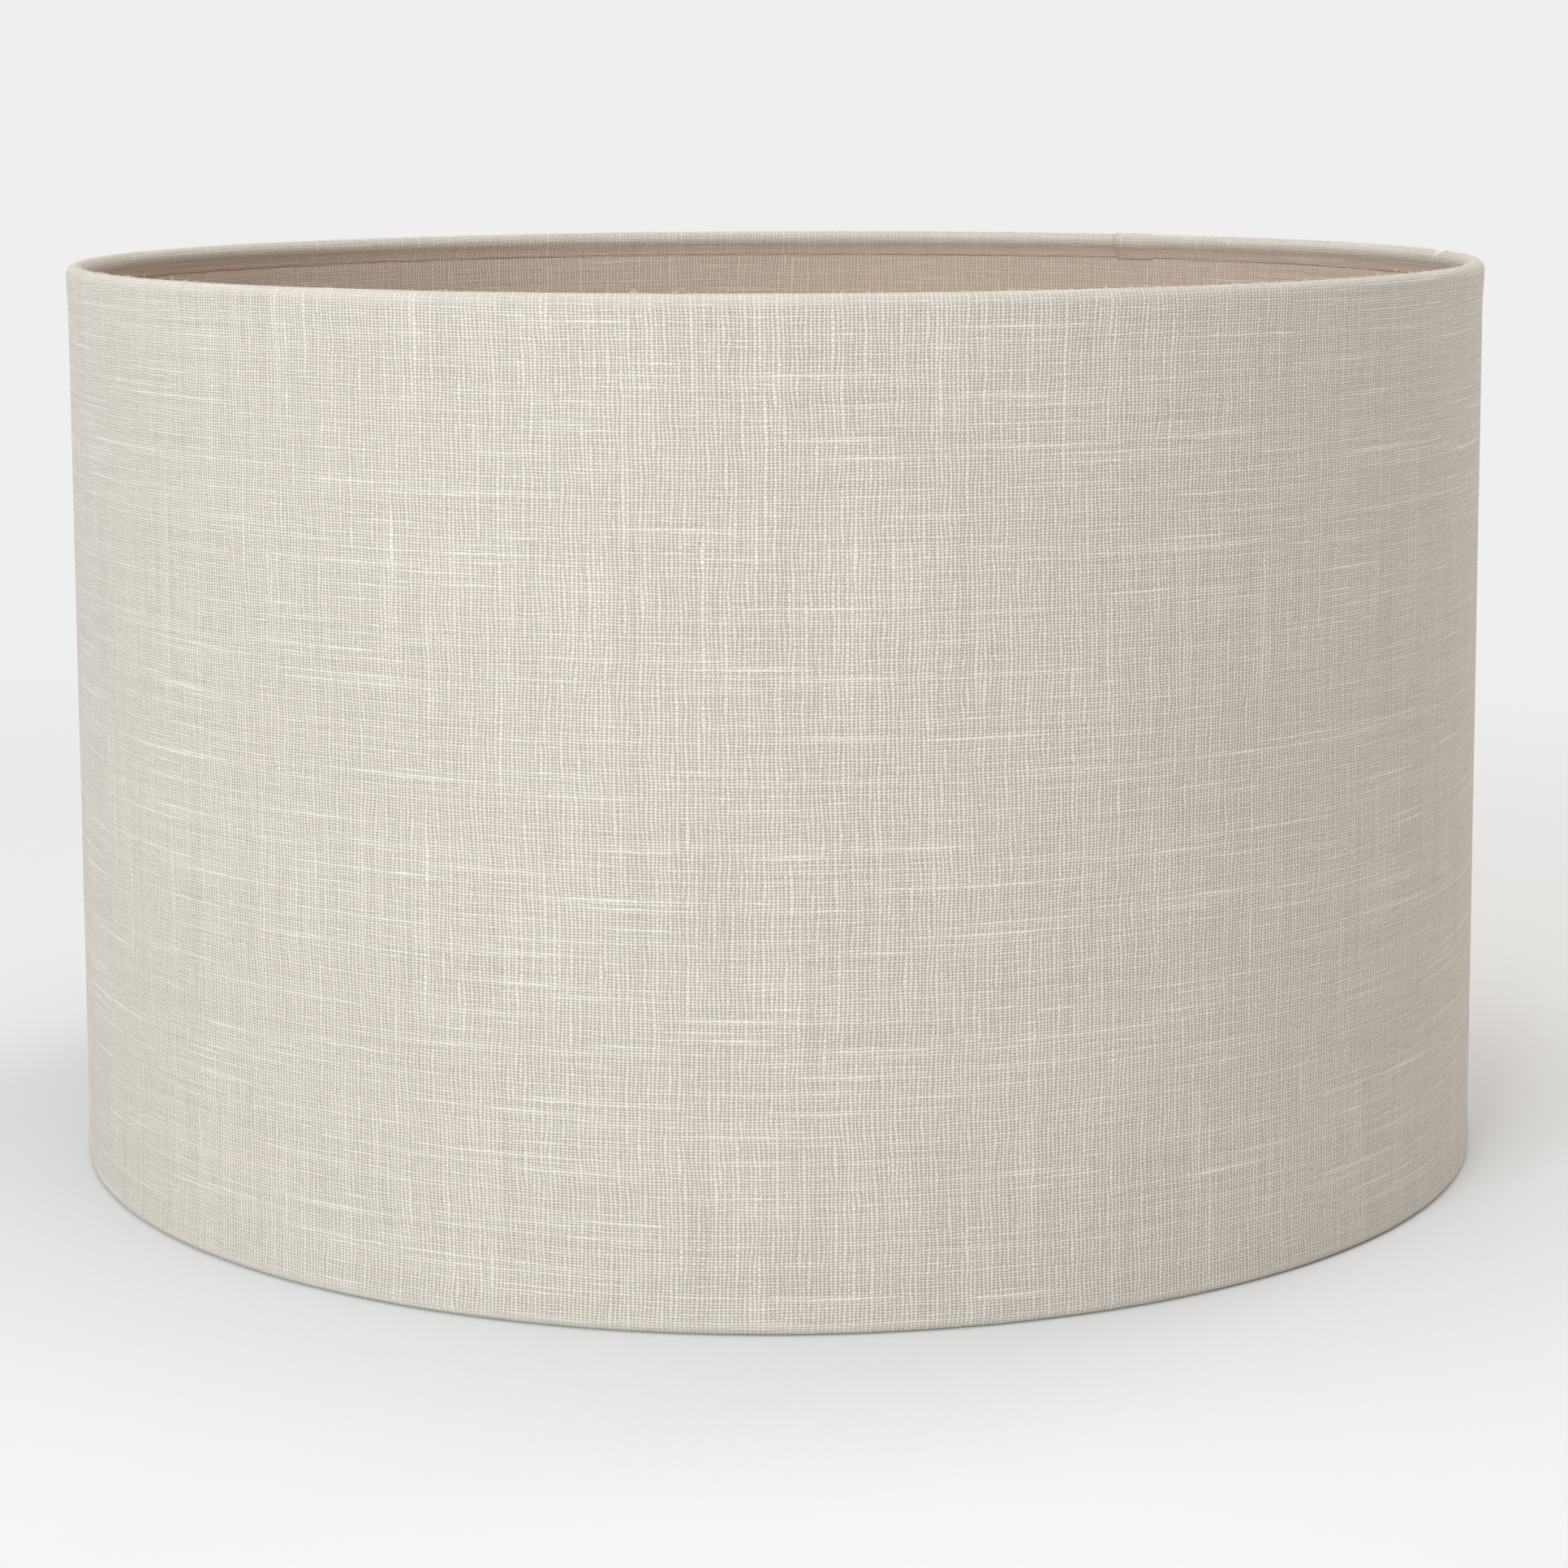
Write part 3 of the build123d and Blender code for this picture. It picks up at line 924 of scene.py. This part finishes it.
class SHADE_OT_fitter(bpy.types.Operator):
    """Finish the gimbal ring, brackets, rivets and reducer ring"""

    bl_idname = "shade.fitter"
    bl_label = "Gimbal fitter"

    def execute(self, context):
        colours = context.scene.shade_colours
        pressed = coat_finish("coated_pressing", tuple(colours.coat), axle_place())
        zinc = zinc_finish("zinc_plate", tuple(colours.zinc), HOOP_HEIGHT)
        plastic = plastic_finish("moulded_plastic", tuple(colours.plastic))
        finish_nodes(pressed, "gimbal_ring", "bracket_left", "bracket_right")
        finish_nodes(zinc, "rivet_left", "rivet_right")
        finish_nodes(plastic, "reducer_ring")
        return {"FINISHED"}


# Lights: turn from the front towards +X in degrees, distance, height, side, power and colour
LAMPS = (
    ("key", -24.5, 2.1, 0.80, 1.0, 37.0, (0.900, 0.960, 1.0)),
    ("side", -125.0, 1.9, 0.60, 0.9, 2.0, (1.0, 1.0, 1.0)),
    ("edge", 132.0, 1.9, 0.60, 0.9, 13.0, (1.0, 0.97, 0.93)),
    ("top", 0.0, 0.02, 2.0, 1.4, 17.0, (1.0, 1.0, 1.0)),
)
LIT_POINT = (0.0, 0.0, 0.13)
AMBIENT = (0.610, 0.586, 0.556, 1.0)

FLOOR_RADIUS = 30.0
FLOOR_DROP = 0.1 * MM
FLOOR_FADE = (0.26, 1.1)  # from lit floor to plain backdrop, out from the axis

# Camera: lens and sensor in millimetres, place in metres, and angles in degrees
LENS, SENSOR_WIDTH, LENS_SHIFT = 85.95, 36.0, -0.15
NEAR_CLIP = 0.01
CAMERA_PLACE = (0.0, -1.0758, 0.2989)
CAMERA_DOWN, CAMERA_TURN, CAMERA_ROLL = 6.955, -0.115, -0.213


def area_light(name, where, aim, size, power, shade):
    """A soft square light that faces a place."""
    lamp = bpy.data.lights.new(name, "AREA")
    lamp.shape = "SQUARE"
    lamp.size = size
    lamp.energy = power
    lamp.color = shade
    holder = bpy.data.objects.new(name, lamp)
    holder.location = where
    holder.rotation_euler = (Vector(aim) - Vector(where)).to_track_quat("-Z", "Y").to_euler()
    bpy.context.scene.collection.objects.link(holder)


class SHADE_OT_stage(bpy.types.Operator):
    """Lay the floor and set up the backdrop, the lights and the camera"""

    bl_idname = "shade.stage"
    bl_label = "Stage"

    def execute(self, context):
        colours = context.scene.shade_colours
        scene = context.scene
        ground = bmesh.new()
        bmesh.ops.create_circle(ground, cap_ends=True, segments=96, radius=FLOOR_RADIUS)
        bmesh.ops.translate(ground, verts=ground.verts, vec=(0.0, 0.0, -FLOOR_DROP))
        mesh = finished_mesh("floor", ground)
        floor = bpy.data.objects.new("floor", mesh)
        scene.collection.objects.link(floor)
        finish = Finish("studio_floor", Specular_IOR_Level=0.1)
        x, y, z = finish.object_place()
        grain = finish.noise(x * 40.0, y * 40.0, 0.0, 3.0)
        tone = finish.scaled(shade_link(finish, tuple(colours.floor)), grain * 0.01 + 1.0)
        finish.surface(tone, 0.85 + grain * 0.05, grain, 0.05 * MM, 0.2)
        glow = finish.add(
            "ShaderNodeEmission", {}, {"Color": rgba(tuple(colours.backdrop)), "Strength": 1.0}
        )
        far = (x * x + y * y).root().step(*FLOOR_FADE)
        blend = finish.add(
            "ShaderNodeMixShader", {}, {0: far, 1: finish.shader.outputs[0], 2: glow.outputs[0]}
        )
        finish.feed(finish.output, "Surface", blend.outputs[0])
        mesh.materials.append(finish.material)
        floor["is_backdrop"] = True

        world = bpy.data.worlds.new("studio")
        scene.world = world
        world.use_nodes = True
        nodes, links = world.node_tree.nodes, world.node_tree.links
        seen = nodes["Background"]
        seen.inputs["Color"].default_value = rgba(tuple(colours.backdrop))
        around = nodes.new("ShaderNodeBackground")
        around.inputs["Color"].default_value = AMBIENT
        path, either = nodes.new("ShaderNodeLightPath"), nodes.new("ShaderNodeMixShader")
        links.new(path.outputs["Is Camera Ray"], either.inputs[0])
        links.new(around.outputs[0], either.inputs[1])
        links.new(seen.outputs[0], either.inputs[2])
        links.new(either.outputs[0], nodes["World Output"].inputs["Surface"])

        for name, turn, away, level, size, power, shade in LAMPS:
            spot = round_shade(away, radians(turn - 90.0), level)
            area_light(name, spot, LIT_POINT, size, power, shade)

        lens = bpy.data.cameras.new("camera")
        lens.sensor_width = SENSOR_WIDTH
        lens.lens = LENS
        lens.shift_y = LENS_SHIFT
        lens.clip_start = NEAR_CLIP
        camera = bpy.data.objects.new("camera", lens)
        camera.location = CAMERA_PLACE
        aim = Euler((radians(90.0 - CAMERA_DOWN), 0.0, radians(CAMERA_TURN))).to_matrix()
        roll = Matrix.Rotation(radians(CAMERA_ROLL), 3, "Z")
        camera.rotation_euler = (aim @ roll).to_euler()
        scene.collection.objects.link(camera)
        scene.camera = camera
        scene.view_settings.view_transform = "Standard"
        scene.view_settings.look = "None"
        return {"FINISHED"}


OPERATORS = (
    SHADE_OT_cover,
    SHADE_OT_lining,
    SHADE_OT_fibres,
    SHADE_OT_wall_core,
    SHADE_OT_carrier,
    SHADE_OT_fitter,
    SHADE_OT_stage,
)


class SHADE_PT_pieces(bpy.types.Panel):
    """Sizes, colours and pieces of the shade"""

    bl_idname = "SHADE_PT_pieces"
    bl_label = "Drum Lamp Shade"
    bl_space_type = "VIEW_3D"
    bl_region_type = "UI"
    bl_category = "Shade"

    def draw(self, context):
        for group in (context.scene.shade_sizes, context.scene.shade_colours):
            box = self.layout.box()
            for name in group.__annotations__:
                box.prop(group, name)
        for operator in OPERATORS:
            self.layout.operator(operator.bl_idname)


CLASSES = (ShadeSizes, ShadeColours, *OPERATORS, SHADE_PT_pieces)


def register():
    for kind in CLASSES:
        bpy.utils.register_class(kind)
    bpy.types.Scene.shade_sizes = PointerProperty(type=ShadeSizes)
    bpy.types.Scene.shade_colours = PointerProperty(type=ShadeColours)


def unregister():
    del bpy.types.Scene.shade_colours
    del bpy.types.Scene.shade_sizes
    for kind in reversed(CLASSES):
        bpy.utils.unregister_class(kind)


def main():
    """Makes every piece in order."""
    register()
    for operator in OPERATORS:
        group, name = operator.bl_idname.split(".")
        getattr(getattr(bpy.ops, group), name)()
    boxes = {"cad": cad_bounds, "visual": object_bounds()}
    {name: [list(corner) for corner in box] for name, box in boxes.items()}


if __name__ == "__main__":
    main()
